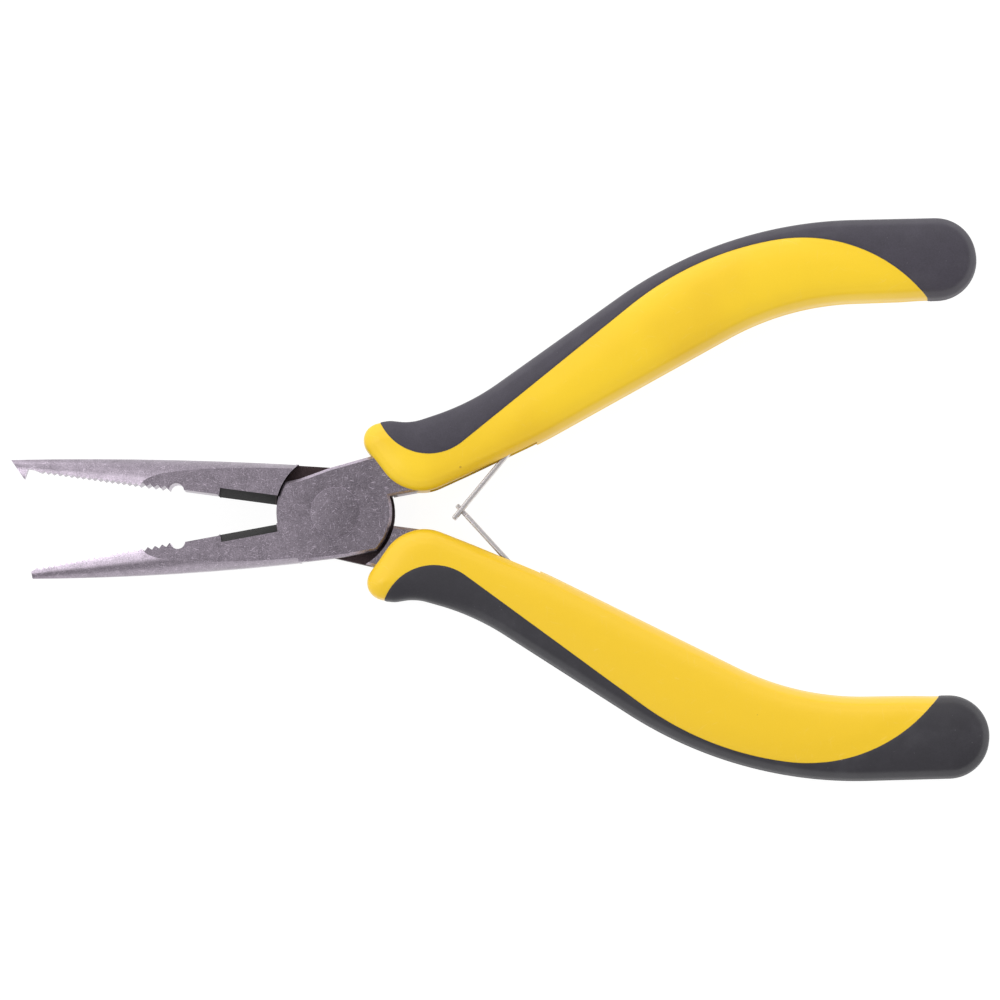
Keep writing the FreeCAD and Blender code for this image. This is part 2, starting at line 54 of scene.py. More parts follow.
openHalf = math.radians(joints["main_pivot"]["range_deg"][1]) / 2
mm = 0.001

# each lever is drawn closed, in millimetres about the pivot, and turned into place
turnFront = Matrix.Rotation(openHalf, 4, "Z")
turnRear = Matrix.Rotation(-openHalf, 4, "Z") @ Matrix.Rotation(math.pi, 4, "X")
leverPlace = {
    "front": Matrix.Translation(pivot) @ turnFront,
    "rear": Matrix.Translation(pivot) @ turnRear,
}
print("frame loaded, pivot at", tuple(round(v, 5) for v in pivot))


# shader helpers

def addNode(tree, kind, inputs=None, **settings):
    node = tree.nodes.new(kind)
    for name, value in settings.items():
        setattr(node, name, value)
    for name, value in (inputs or {}).items():
        plug(tree, node.inputs[name], value)
    return node


def plug(tree, socket, value):
    if isinstance(value, bpy.types.NodeSocket):
        tree.links.new(value, socket)
    else:
        socket.default_value = value


def calc(tree, operation, first, second=0.0, third=0.0):
    inputs = {0: first, 1: second}
    if operation == "MULTIPLY_ADD":
        inputs[2] = third
    return addNode(tree, "ShaderNodeMath", inputs, operation=operation).outputs[0]


def rise(tree, value, low, high):
    # 0 below low, 1 above high, smooth between
    inputs = {"Value": value, "From Min": low, "From Max": high}
    node = addNode(tree, "ShaderNodeMapRange", inputs, interpolation_type="SMOOTHSTEP")
    return node.outputs["Result"]


def fall(tree, value, low, high):
    return calc(tree, "SUBTRACT", 1.0, rise(tree, value, low, high))


def allOf(tree, *masks):
    result = masks[0]
    for mask in masks[1:]:
        result = calc(tree, "MULTIPLY", result, mask)
    return result


def anyOf(tree, *masks):
    result = masks[0]
    for mask in masks[1:]:
        result = calc(tree, "MAXIMUM", result, mask)
    return result


def mixColour(tree, factor, first, second):
    node = addNode(tree, "ShaderNodeMix", data_type="RGBA")
    plug(tree, node.inputs[0], factor)
    plug(tree, node.inputs[6], first)
    plug(tree, node.inputs[7], second)
    return node.outputs[2]


def grey(value, tint=(1.0, 0.87, 1.03)):
    return tuple(value * t for t in tint) + (1.0,)


def newGroup(name, inputs, outputs):
    tree = bpy.data.node_groups.new(name, "ShaderNodeTree")
    for label, kind, value in inputs:
        socket = tree.interface.new_socket(label, in_out="INPUT", socket_type=kind)
        if value is not None:
            socket.default_value = value
    for label, kind in outputs:
        tree.interface.new_socket(label, in_out="OUTPUT", socket_type=kind)
    return tree, tree.nodes.new("NodeGroupInput"), tree.nodes.new("NodeGroupOutput")


def useGroup(tree, group, **inputs):
    node = addNode(tree, "ShaderNodeGroup", node_tree=group)
    for label, value in inputs.items():
        plug(tree, node.inputs[label], value)
    return node


def noise(tree, place, scale, detail=2.0, roughness=0.5):
    inputs = {"Vector": place, "Scale": scale, "Detail": detail, "Roughness": roughness}
    return addNode(tree, "ShaderNodeTexNoise", inputs).outputs[0]


def makeGrainGroup():
    # fine grain: a tone about 1 for colour and a height for bump
    tree, start, end = newGroup(
        "fineGrain",
        [("Place", "NodeSocketVector", None), ("Scale", "NodeSocketFloat", 3.0),
         ("Contrast", "NodeSocketFloat", 0.1)],
        [("Tone", "NodeSocketFloat"), ("Height", "NodeSocketFloat")],
    )
    place, scale = start.outputs["Place"], start.outputs["Scale"]
    fine = noise(tree, place, scale, 3.0, 0.65)
    broad = noise(tree, place, calc(tree, "MULTIPLY", scale, 0.09), 2.0, 0.5)
    centred = calc(tree, "SUBTRACT", calc(tree, "MULTIPLY_ADD", broad, 0.35, fine), 0.675)
    scaled = calc(tree, "MULTIPLY", centred, start.outputs["Contrast"])
    tree.links.new(calc(tree, "ADD", scaled, 1.0), end.inputs["Tone"])
    tree.links.new(fine, end.inputs["Height"])
    return tree


def makeScratchGroup():
    # short hair scratches in three directions, each gently bent
    tree, start, end = newGroup(
        "hairScratches",
        [("Place", "NodeSocketVector", None), ("Scale", "NodeSocketFloat", 1.0),
         ("Rarity", "NodeSocketFloat", 0.7)],
        [("Mask", "NodeSocketFloat")],
    )
    place = start.outputs["Place"]
    bend = addNode(tree, "ShaderNodeTexNoise", {"Vector": place, "Scale": 0.35})
    shift = addNode(tree, "ShaderNodeVectorMath", {0: bend.outputs[1], 1: (1.1, 1.1, 0.0)},
                    operation="MULTIPLY")
    bent = addNode(tree, "ShaderNodeVectorMath", {0: place, 1: shift.outputs[0]},
                   operation="ADD").outputs[0]
    masks = []
    for angle, stretch in ((0.5, 7.0), (1.7, 9.0), (2.75, 6.0)):
        turned = addNode(tree, "ShaderNodeMapping", {"Vector": bent, "Rotation": (0, 0, angle)})
        stretched = addNode(tree, "ShaderNodeMapping", {
            "Vector": turned.outputs[0], "Location": (angle * 31, angle * 17, 0),
            "Scale": (0.55, stretch, 0.55)})
        value = noise(tree, stretched.outputs[0], start.outputs["Scale"], 0.0)
        edge = start.outputs["Rarity"]
        masks.append(rise(tree, value, edge, calc(tree, "ADD", edge, 0.03)))
    tree.links.new(anyOf(tree, *masks), end.inputs["Mask"])
    return tree


def makeSpeckGroup():
    # small scattered specks, such as dust or pits, and on steel painted glints
    tree, start, end = newGroup(
        "scatteredSpecks",
        [("Place", "NodeSocketVector", None), ("Scale", "NodeSocketFloat", 1.0),
         ("Size", "NodeSocketFloat", 0.1)],
        [("Mask", "NodeSocketFloat")],
    )
    cells = addNode(tree, "ShaderNodeTexVoronoi",
                    {"Vector": start.outputs["Place"], "Scale": start.outputs["Scale"]})
    pick = addNode(tree, "ShaderNodeSeparateXYZ", {0: cells.outputs["Color"]})
    reach = calc(tree, "MULTIPLY", pick.outputs[0], start.outputs["Size"])
    spot = fall(tree, cells.outputs["Distance"], calc(tree, "MULTIPLY", reach, 0.6), reach)
    chosen = rise(tree, pick.outputs[1], 0.6, 0.65)
    tree.links.new(allOf(tree, spot, chosen), end.inputs["Mask"])
    return tree


grainGroup = makeGrainGroup()
scratchGroup = makeScratchGroup()
speckGroup = makeSpeckGroup()


def newMaterial(name):
    material = bpy.data.materials.new(name)
    material.use_nodes = True
    tree = material.node_tree
    shader = tree.nodes["Principled BSDF"]
    return material, tree, shader


def closingTurn(lever):
    return (0.0, 0.0, -openHalf) if lever == "front" else (math.pi, 0.0, -openHalf)


def placeIn(tree, lever):
    # coordinates in a lever's own closed frame, in millimetres
    start = leverPlace[lever].inverted().translation / mm
    source = addNode(tree, "ShaderNodeTexCoord")
    return addNode(tree, "ShaderNodeMapping", {
        "Vector": source.outputs["Object"], "Location": tuple(start),
        "Rotation": closingTurn(lever), "Scale": (1 / mm, 1 / mm, 1 / mm)}).outputs[0]


def facingIn(tree, lever):
    # the surface's normal in the same frame
    source = addNode(tree, "ShaderNodeTexCoord")
    return addNode(tree, "ShaderNodeMapping", {
        "Vector": source.outputs["Normal"], "Rotation": closingTurn(lever)},
        vector_type="VECTOR").outputs[0]


def toneWith(tree, colour, tone):
    return addNode(tree, "ShaderNodeVectorMath", {0: colour, 1: tone},
                   operation="MULTIPLY").outputs[0]


def bumpInto(tree, shader, height, strength, distance):
    bump = addNode(tree, "ShaderNodeBump", {"Height": height, "Strength": strength,
                                           "Distance": distance})
    tree.links.new(bump.outputs[0], shader.inputs["Normal"])


# steel finishes, with painted reflections on the jaws' noses

steelLook = {
    "ground": grey(0.245),
    "polished": grey(0.40),
    # the nose's painted reflection tones near its teeth, half way and at its outer edge: a
    # painted highlight by the teeth and a painted dark reflection band half way, with its own
    # tones on each jaw
    "front": (grey(0.76), grey(0.28), grey(0.34)),
    "rear": (grey(0.46), grey(0.25), grey(0.34)),
    "brightTo": {"front": 0.5, "rear": 0.36},    # as shares of the nose's depth
    "brightBlend": 0.12,
    "rim": (0.68, 0.92),
    "tipDepth": 7.477,       # the nose is this deep where x is 0
    "noseTaper": 0.145,
    "cutter": (0.004, 0.0028, 0.0036, 1.0),
    "black": (0.070, 0.050, 0.054, 1.0),
    "forged": grey(0.36),
    "mark": grey(0.8),       # bare steel in scratches, and the painted glints
    "jointFaceDarkening": 0.76,             # the joint's face is darker than the jaws
    "jointFaceDarkFrom": (-7.5, -1.0),
    "groundRough": 0.42,
    "polishedRough": 0.33,
    "blackRough": 0.55,
    "grainRough": 0.16,
    "specular": 0.1,         # only the black cutters aren't bare metal
    # where each surface lies: the low and high end of its mask, in millimetres, and how
    # far its normal points up
    "flatUp": (0.985, 0.995),
    "faceHeight": (3.9, 3.95),
    "noseStart": (-8.5, -8.4),
    "cutterEnd": (-16.35, -16.3),
    "cutterDepth": (-1.33, -1.3),
    "biteFacing": (0.5, 0.75),
    "biteDepth": (-0.8, -0.6),
    "outerStart": (-5.2, -5.0),
    "outerDepth": (-3.0, -2.8),
    "recessHeight": (0.6, 0.8),
    "recessUp": (0.8, 0.9),
    "plateRadius": (8.7, 8.9),
    "wallUp": (0.4, 0.55),
    "wallStart": (-4.6, -4.4),
    "bevelUp": (0.55, 0.6),
    "bevelUpEnd": (0.85, 0.9),
    "bevelHeight": (3.6, 3.62),
    "bevelStart": (-5.5, -4.0),
    # surface detail
    "grain": {"Scale": 5.5, "Contrast": 1.5},
    "smear": {"Scale": 1.1, "Contrast": 0.35},
    "hair": {"Scale": 1.9, "Rarity": 0.785},
    "fineHair": {"Scale": 3.8, "Rarity": 0.75},
    "fineShare": 0.45,
    "hairShown": 0.6,
    "glints": {"Scale": 2.6, "Size": 0.26},
    "glintShown": 0.4,
    "brushTurn": 0.12,
    "brushStretch": (0.25, 6.0, 1.0),
    "brushScale": 1.6,
    "brushTone": 0.25,
    "brushRelief": 0.5,
    "hairRelief": 0.6,
    "bump": (0.35, 0.00004),
}


def makeSteel(lever):
    material, tree, shader = newMaterial(lever + "SteelFinishWithPaintedReflections")
    look = steelLook
    place = placeIn(tree, lever)
    at = addNode(tree, "ShaderNodeSeparateXYZ", {0: place})
    to = addNode(tree, "ShaderNodeSeparateXYZ", {0: facingIn(tree, lever)})
    x, y, z = at.outputs
    height = calc(tree, "ABSOLUTE", z)
    upright = calc(tree, "ABSOLUTE", to.outputs[2])
    level = toneWith(tree, place, (1, 1, 0))
    radius = addNode(tree, "ShaderNodeVectorMath", {0: level}, operation="LENGTH")
    radius = radius.outputs["Value"]

    flat = allOf(tree, rise(tree, upright, *look["flatUp"]),
                 rise(tree, height, *look["faceHeight"]))
    notFlat = calc(tree, "SUBTRACT", 1.0, flat)
    onNose = fall(tree, x, *look["noseStart"])
    cutter = allOf(tree, onNose, rise(tree, x, *look["cutterEnd"]),
                   rise(tree, y, *look["cutterDepth"]), notFlat)
    bite = allOf(tree, onNose, rise(tree, to.outputs[1], *look["biteFacing"]),
                 rise(tree, y, *look["biteDepth"]))
    outside = allOf(tree, fall(tree, x, *look["outerStart"]), fall(tree, y, *look["outerDepth"]))
    nose = allOf(tree, anyOf(tree, onNose, outside), notFlat)
    recess = allOf(tree, fall(tree, height, *look["recessHeight"]),
                   rise(tree, upright, *look["recessUp"]))
    wall = allOf(tree, fall(tree, radius, *look["plateRadius"]),
                 fall(tree, upright, *look["wallUp"]), rise(tree, y, *look["wallStart"]))
    bevel = allOf(tree, rise(tree, upright, *look["bevelUp"]),
                  fall(tree, upright, *look["bevelUpEnd"]),
                  rise(tree, height, *look["bevelHeight"]), rise(tree, x, *look["bevelStart"]))
    black = anyOf(tree, cutter, recess, wall)
    notBlack = calc(tree, "SUBTRACT", 1.0, black)
    bright = anyOf(tree, nose, bevel)

    grain = useGroup(tree, grainGroup, Place=place, **look["grain"])
    smear = useGroup(tree, grainGroup, Place=place, **look["smear"])
    hair = useGroup(tree, scratchGroup, Place=place, **look["hair"])
    fineHair = useGroup(tree, scratchGroup, Place=place, **look["fineHair"])
    glints = useGroup(tree, speckGroup, Place=place, **look["glints"])
    brush = addNode(tree, "ShaderNodeMapping", {
        "Vector": place, "Rotation": (0, 0, look["brushTurn"]), "Scale": look["brushStretch"]})
    brushed = noise(tree, brush.outputs[0], look["brushScale"], 3.0, 0.6)

    # painted reflections: the nose is toned in bands across its depth, a painted highlight by the
    # teeth, a painted dark band half way and a painted reflection at its outer edge
    teeth, middle, edge = look[lever]
    depth = calc(tree, "MULTIPLY_ADD", x, look["noseTaper"], look["tipDepth"])
    share = calc(tree, "DIVIDE", calc(tree, "MULTIPLY", y, -1.0), depth)
    reach, blend = look["brightTo"][lever], look["brightBlend"]
    paintedNoseReflection = mixColour(tree, fall(tree, share, reach - blend, reach + blend), middle, teeth)
    paintedNoseReflection = mixColour(tree, rise(tree, share, *look["rim"]), paintedNoseReflection, edge)
    colour = mixColour(tree, bevel, look["ground"], look["polished"])
    # the nose takes its painted reflection bands
    colour = mixColour(tree, nose, colour, paintedNoseReflection)
    colour = mixColour(tree, bite, colour, look["forged"])
    colour = mixColour(tree, black, colour, look["black"])
    colour = mixColour(tree, cutter, colour, look["cutter"])

    tone = calc(tree, "MULTIPLY", grain.outputs["Tone"], smear.outputs["Tone"])
    tone = calc(tree, "MULTIPLY", tone, calc(tree, "MULTIPLY_ADD", brushed, look["brushTone"],
                                             1 - look["brushTone"] / 2))
    # flat faces from the joint back are made darker than the jaws
    jointFaceMask = allOf(tree, rise(tree, x, *look["jointFaceDarkFrom"]), flat)
    tone = calc(tree, "MULTIPLY", tone, calc(tree, "MULTIPLY_ADD", jointFaceMask, look["jointFaceDarkening"] - 1, 1.0))
    faint = calc(tree, "MULTIPLY", fineHair.outputs[0], look["fineShare"])
    sheen = allOf(tree, anyOf(tree, hair.outputs[0], faint), notBlack)
    marked = mixColour(tree, calc(tree, "MULTIPLY", sheen, look["hairShown"]),
                       toneWith(tree, colour, tone), look["mark"])
    # painted glints: bright specks mixed into the steel's colour
    sparkle = allOf(tree, glints.outputs[0], notBlack)
    marked = mixColour(tree, calc(tree, "MULTIPLY", sparkle, look["glintShown"]), marked,
                       look["mark"])
    plug(tree, shader.inputs["Base Color"], marked)
    plug(tree, shader.inputs["Metallic"], calc(tree, "SUBTRACT", 1.0, cutter))
    shader.inputs["Specular IOR Level"].default_value = look["specular"]

    base = look["groundRough"]
    rough = calc(tree, "MULTIPLY_ADD", bright, look["polishedRough"] - base, base)
    rough = calc(tree, "MULTIPLY_ADD", black, look["blackRough"] - base, rough)
    rough = calc(tree, "MULTIPLY_ADD", grain.outputs["Height"], look["grainRough"],
                 calc(tree, "SUBTRACT", rough, look["grainRough"] / 2))
    plug(tree, shader.inputs["Roughness"], rough)
    relief = calc(tree, "MULTIPLY_ADD", brushed, look["brushRelief"], grain.outputs["Height"])
    relief = calc(tree, "SUBTRACT", relief, calc(tree, "MULTIPLY", sheen, look["hairRelief"]))
    bumpInto(tree, shader, relief, *look["bump"])
    return material


plainLook = {
    "grain": {"Scale": 6.0, "Contrast": 0.5},
    "lineScale": 1.8,
    "lineTone": 0.3,
    "hair": {"Scale": 1.6, "Rarity": 0.72},
    "hairShown": 0.5,
    "mark": grey(0.85),
    "grainRough": 0.15,
    "bump": (0.3, 0.00003),
}


def makePlainSteel(name, colour, roughness, stretch):
    look = plainLook
    material, tree, shader = newMaterial(name)
    place = placeIn(tree, "front")
    grain = useGroup(tree, grainGroup, Place=place, **look["grain"])
    rolled = addNode(tree, "ShaderNodeMapping", {"Vector": place, "Scale": stretch})
    lines = noise(tree, rolled.outputs[0], look["lineScale"], 3.0, 0.6)
    hair = useGroup(tree, scratchGroup, Place=place, **look["hair"])
    tone = calc(tree, "MULTIPLY", grain.outputs["Tone"],
                calc(tree, "MULTIPLY_ADD", lines, look["lineTone"], 1 - look["lineTone"] / 2))
    marked = mixColour(tree, calc(tree, "MULTIPLY", hair.outputs[0], look["hairShown"]),
                       toneWith(tree, colour[:3], tone), look["mark"])
    plug(tree, shader.inputs["Base Color"], marked)
    shader.inputs["Metallic"].default_value = 1.0
    plug(tree, shader.inputs["Roughness"],
         calc(tree, "MULTIPLY_ADD", grain.outputs["Height"], look["grainRough"], roughness))
    bumpInto(tree, shader, calc(tree, "ADD", lines, grain.outputs["Height"]), *look["bump"])
    return material


# grip plastics

plasticLook = {
    # the same plastic twice: the upper grip's colour is lighter as painted light, the lower's
    # darker as painted shade
    "upper": (0.93, 0.62, 0.016, 1.0),
    "lower": (0.85, 0.545, 0.012, 1.0),
    "deep": (0.86, 0.55, 0.012, 1.0),
    "speckColour": (0.35, 0.17, 0.02, 1.0),
    "scuffColour": (0.95, 0.74, 0.25, 1.0),
    "roughness": 0.36,
    "grain": {"Scale": 7.0, "Contrast": 0.06},
    "grainRough": 0.1,
    "cloudScale": 0.06,
    "cloudRange": (0.35, 0.7),
    "cloudRough": 0.12,
    "specks": {"Scale": 0.22, "Size": 0.05},
    "speckShown": 0.55,
    "scuffs": {"Scale": 0.9, "Rarity": 0.80},
    "scuffShown": 0.12,
    "scuffRough": 0.12,
    "rippleScale": 0.9,
    "rippleRelief": 1.5,
    "bump": (0.22, 0.00003),
}
rubberLook = {
    # the same rubber twice: the upper grip's colour is lighter as painted light, the lower's
    # darker as painted shade
    "upper": (0.042, 0.036, 0.052),
    "lower": (0.020, 0.018, 0.025),
    "dust": (0.26, 0.25, 0.28, 1.0),
    "roughness": 0.56,
    "grain": {"Scale": 5.0, "Contrast": 0.9},
    "grainRough": 0.2,
    "specks": {"Scale": 1.5, "Size": 0.16},
    "speckShown": 0.16,
    "dustScale": 0.25,
    "dustRange": (0.45, 0.8),
    "dustShown": 0.05,
    "bump": (0.5, 0.00005),
}


def makePlastic(handle):
    look = plasticLook
    material, tree, shader = newMaterial(handle + "Plastic")
    place = placeIn(tree, "front")
    grain = useGroup(tree, grainGroup, Place=place, **look["grain"])
    cloud = noise(tree, place, look["cloudScale"], 2.0, 0.5)
    # look[handle] holds painted light on the upper grip and painted shade on the lower
    colour = mixColour(tree, rise(tree, cloud, *look["cloudRange"]), look[handle], look["deep"])
    specks = useGroup(tree, speckGroup, Place=place, **look["specks"])
    marked = mixColour(tree, calc(tree, "MULTIPLY", specks.outputs[0], look["speckShown"]),
                       toneWith(tree, colour, grain.outputs["Tone"]), look["speckColour"])
    scuffs = useGroup(tree, scratchGroup, Place=place, **look["scuffs"])
    marked = mixColour(tree, calc(tree, "MULTIPLY", scuffs.outputs[0], look["scuffShown"]),
                       marked, look["scuffColour"])
    plug(tree, shader.inputs["Base Color"], marked)
    rough = calc(tree, "MULTIPLY_ADD", grain.outputs["Height"], look["grainRough"],
                 look["roughness"] - look["grainRough"] / 2)
    rough = calc(tree, "MULTIPLY_ADD", cloud, look["cloudRough"],
                 calc(tree, "SUBTRACT", rough, look["cloudRough"] / 2))
    rough = calc(tree, "MULTIPLY_ADD", scuffs.outputs[0], look["scuffRough"], rough)
    plug(tree, shader.inputs["Roughness"], rough)
    ripple = noise(tree, place, look["rippleScale"], 2.0, 0.5)
    relief = calc(tree, "MULTIPLY_ADD", ripple, look["rippleRelief"], grain.outputs["Height"])
    bumpInto(tree, shader, relief, *look["bump"])
    return material


def makeRubber(handle):
    look = rubberLook
    material, tree, shader = newMaterial(handle + "Rubber")
    place = placeIn(tree, "front")
    grain = useGroup(tree, grainGroup, Place=place, **look["grain"])
    specks = useGroup(tree, speckGroup, Place=place, **look["specks"])
    dust = noise(tree, place, look["dustScale"], 3.0, 0.6)
    haze = calc(tree, "MULTIPLY", rise(tree, dust, *look["dustRange"]), look["dustShown"])
    amount = calc(tree, "MULTIPLY_ADD", specks.outputs[0], look["speckShown"], haze)
    # look[handle] holds painted light on the upper grip and painted shade on the lower
    toned = toneWith(tree, look[handle], grain.outputs["Tone"])
    plug(tree, shader.inputs["Base Color"], mixColour(tree, amount, toned, look["dust"]))
    rough = calc(tree, "MULTIPLY_ADD", grain.outputs["Height"], look["grainRough"],
                 look["roughness"] - look["grainRough"] / 2)
    plug(tree, shader.inputs["Roughness"], rough)
    bumpInto(tree, shader, grain.outputs["Height"], *look["bump"])
    return material


# outlines

def sampleLine(first, last, step):
    count = max(1, int(math.ceil((last - first).length / step)))
    return [first.lerp(last, i / count) for i in range(count)]


def roundedLoop(corners, step):
    # points round a closed outline whose corners (x, y, radius) are tangent arcs
    arcs = []
    for i, (x, y, radius) in enumerate(corners):
        here = Vector((x, y))
        back = (Vector(corners[i - 1][:2]) - here).normalized()
        ahead = (Vector(corners[(i + 1) % len(corners)][:2]) - here).normalized()
        half = back.angle(ahead) / 2
        reach = radius / math.tan(half)
        centre = here + (back + ahead).normalized() * (radius / math.sin(half))
        arcs.append((here + back * reach, here + ahead * reach, centre, radius))
    points = []
    for i, (start, end, centre, radius) in enumerate(arcs):
        first, last = start - centre, end - centre
        turn = first.angle_signed(last)
        count = max(2, int(math.ceil(abs(turn) * radius / min(step, radius * 0.35))))
        for k in range(count):
            spin = Matrix.Rotation(-turn * k / count, 2)
            points.append(centre + spin @ first)
        points += sampleLine(end, arcs[(i + 1) % len(arcs)][0], step)
    return np.array([tuple(p) for p in points])


def inwardNormals(loop):
    along = np.roll(loop, -1, 0) - np.roll(loop, 1, 0)
    along /= np.linalg.norm(along, axis=1)[:, None]
    return np.stack([-along[:, 1], along[:, 0]], 1)


def distanceTo(points, path, closed=True):
    # distance from each point to a path
    ends = np.roll(path, -1, 0) if closed else path[1:]
    starts = path if closed else path[:-1]
    run = ends - starts
    length = (run ** 2).sum(1)
    best = np.full(len(points), 1e9)
    for block in range(0, len(points), 500):
        here = points[block:block + 500]
        offset = here[:, None, :] - starts[None]
        share = np.clip((offset * run[None]).sum(2) / length[None], 0, 1)
        gap = offset - share[..., None] * run[None]
        best[block:block + 500] = np.sqrt((gap ** 2).sum(2)).min(1)
    return best


def isInside(points, loop):
    x, y = points[:, 0][:, None], points[:, 1][:, None]
    ax, ay = loop[:, 0][None], loop[:, 1][None]
    bx, by = np.roll(loop, -1, 0)[:, 0][None], np.roll(loop, -1, 0)[:, 1][None]
    crosses = (ay > y) != (by > y)
    with np.errstate(divide="ignore", invalid="ignore"):
        cut = (bx - ax) * (y - ay) / (by - ay) + ax
    return (crosses & (x < cut)).sum(1) % 2 == 1


def smooth(value, low, high):
    share = np.clip((value - low) / (high - low), 0, 1)
    return share * share * (3 - 2 * share)


# grips

grip = {
    "front": 5.4,
    "end": 93.1,
    "lip": 1.5,
    "tail": 5.6,             # radius of the grip's end
    "tailPlace": 18.475,
    # the grip's rounding: how high its surface stands at each distance from the outline
    "edgeInset": [0, 0.05, 0.12, 0.22, 0.36, 0.52, 0.7, 0.88, 1.05, 1.22, 1.4, 1.65, 1.95, 2.3],
    "sideProfile": [(0, 0), (0.05, 0.12), (0.12, 1.5), (0.22, 2.6), (0.36, 3.2), (0.7, 3.95),
                    (0.88, 4.28), (1.05, 4.58), (1.22, 4.78), (1.4, 4.9), (2.3, 5.25),
                    (3.2, 5.43), (4.4, 5.54), (6.0, 5.6)],
    "frontProfile": [(0, 0), (0.05, 2.6), (0.12, 3.9), (0.3, 4.35), (0.7, 4.75), (1.3, 5.1),
                     (2.3, 5.38), (3.6, 5.54), (6.0, 5.6)],
    "frontFrom": 30.0,       # the front profile fades in between these
    "frontTo": 12.0,
    "step": 0.45,            # spacing of points on the outline and the colour line
    "within": 0.012,         # just inside the outline's own size
    "top": 5.595,
    "proud": 0.10,           # rubber above the hard plastic beside it
    "proudFrom": 0.5,
    "proudWidth": 3.2,
    "rubberRound": 0.06,
    "roundWidth": 0.2,
    "lineReach": 0.5,        # the colour line is drawn this far past the outline
    "fieldStep": 0.75,       # spacing of points away from the lines
    "rimClear": 0.4,
    "lineClear": 0.5,
    "sliver": 1e-6,
    "sharpAngle": 38,
}


def gripCorners():
    front, end = grip["front"], grip["end"]
    span, tail, place = end - front, grip["tail"], grip["tailPlace"]
    return [
        (front + 0.050 * span, -0.5, 6.4), (front + 0.270 * span, 4.15, 60.0),
        (front + 0.694 * span, 16.7, 38.0), (end, place - 1.03 * tail, tail),
        (end, place + 1.03 * tail, tail), (front + 0.619 * span, 29.65, 58.0),
        (front + 0.174 * span, 11.45, 34.0), (front + 0.080 * span, 10.25, 7.0),
        (front + 0.048 * span, 11.1, 3.0), (front - grip["lip"], 11.2, 2.5),
    ]


def hardCorners():
    front = grip["front"]
    span = grip["end"] - front
    return [
        (front + 0.025 * span, 13.3, 0.3), (front + 0.063 * span, 1.96, 7.25),
        (front + 0.560 * span, 25.75, 43.0), (front + 0.821 * span, 25.75, 22.0),
        (front + 0.942 * span, 10.0, 0.5), (front + 0.942 * span, -12.0, 1.0),
        (front - 6.0, -12.0, 1.0), (front - 6.0, 13.3, 1.0),
    ]


def gripHeight(inset, x):
    side = np.interp(inset, *zip(*grip["sideProfile"]))
    front = np.interp(inset, *zip(*grip["frontProfile"]))
    share = 1 - smooth(x, grip["frontTo"], grip["frontFrom"])
    return np.minimum(side + (front - side) * share, grip["top"])


def gripFace():
    # one face of the grip as triangles over its outline, cut along the colour line
    step = grip["step"]
    outline = roundedLoop(gripCorners(), step)
    outline = outline + inwardNormals(outline) * grip["within"]
    hard = roundedLoop(hardCorners(), step)[::-1]
    normals = inwardNormals(outline)
    points, edges = [], []
    for inset in grip["edgeInset"]:
        first = len(points)
        ring = outline + normals * inset
        points += [tuple(p) for p in ring]
        edges += [(first + i, first + (i + 1) % len(ring)) for i in range(len(ring))]
    hardNormals = inwardNormals(hard)
    for offset in (0.0, grip["rubberRound"], grip["roundWidth"], -grip["roundWidth"]):
        # only the part of the colour line that crosses the grip
        path = hard + hardNormals * offset
        near = distanceTo(path, outline) < grip["lineReach"]
        keep = isInside(path, outline) | near
        first = len(points)
        points += [tuple(p) for p in path]
        for i in range(len(path)):
            after = (i + 1) % len(path)
            if keep[i] and keep[after]:
                edges.append((first + i, first + after))
    low, high = outline.min(0), outline.max(0)
    spacing, rowShare = grip["fieldStep"], 0.866
    rows = int((high[1] - low[1]) / (spacing * rowShare))
    columns = int((high[0] - low[0]) / spacing)
    field = np.array([(low[0] + (c + 0.5 * (r % 2)) * spacing, low[1] + r * spacing * rowShare)
                      for r in range(rows) for c in range(columns)])
    field = field[isInside(field, outline)]
    field = field[distanceTo(field, outline) > grip["edgeInset"][-1] + grip["rimClear"]]
    field = field[distanceTo(field, hard) > grip["lineClear"]]
    points += [tuple(p) for p in field]
    result = delaunay_2d_cdt([Vector(p) for p in points], edges, [], 0, 1e-5)
    spots = np.array([tuple(p) for p in result[0]])
    triangles = np.array(result[2])
    centres = spots[triangles].mean(1)
    triangles = triangles[isInside(centres, outline)]
    centres = spots[triangles].mean(1)
    # leave out slivers that lie on the outline itself
    a, b, c = (spots[triangles[:, k]] for k in range(3))
    area = np.abs(np.cross(b - a, c - a)) / 2
    triangles, centres = triangles[area > grip["sliver"]], centres[area > grip["sliver"]]
    inset = distanceTo(spots, outline)
    inset[inset < 1e-3] = 0.0
    return spots, triangles, isInside(centres, hard), inset, distanceTo(spots, hard)


def meshObject(name, points, faces, material):
    mesh = bpy.data.meshes.new(name)
    mesh.from_pydata([tuple(p) for p in points], [], [tuple(f) for f in faces])
    mesh.validate()
    mesh.update()
    piece = bpy.data.objects.new(name, mesh)
    bpy.context.scene.collection.objects.link(piece)
    mesh.materials.append(material)
    return piece


def softenShading(piece, degrees):
    piece.data.polygons.foreach_set("use_smooth", [True] * len(piece.data.polygons))
    piece.data.set_sharp_from_angle(angle=math.radians(degrees))
    piece.data.update()


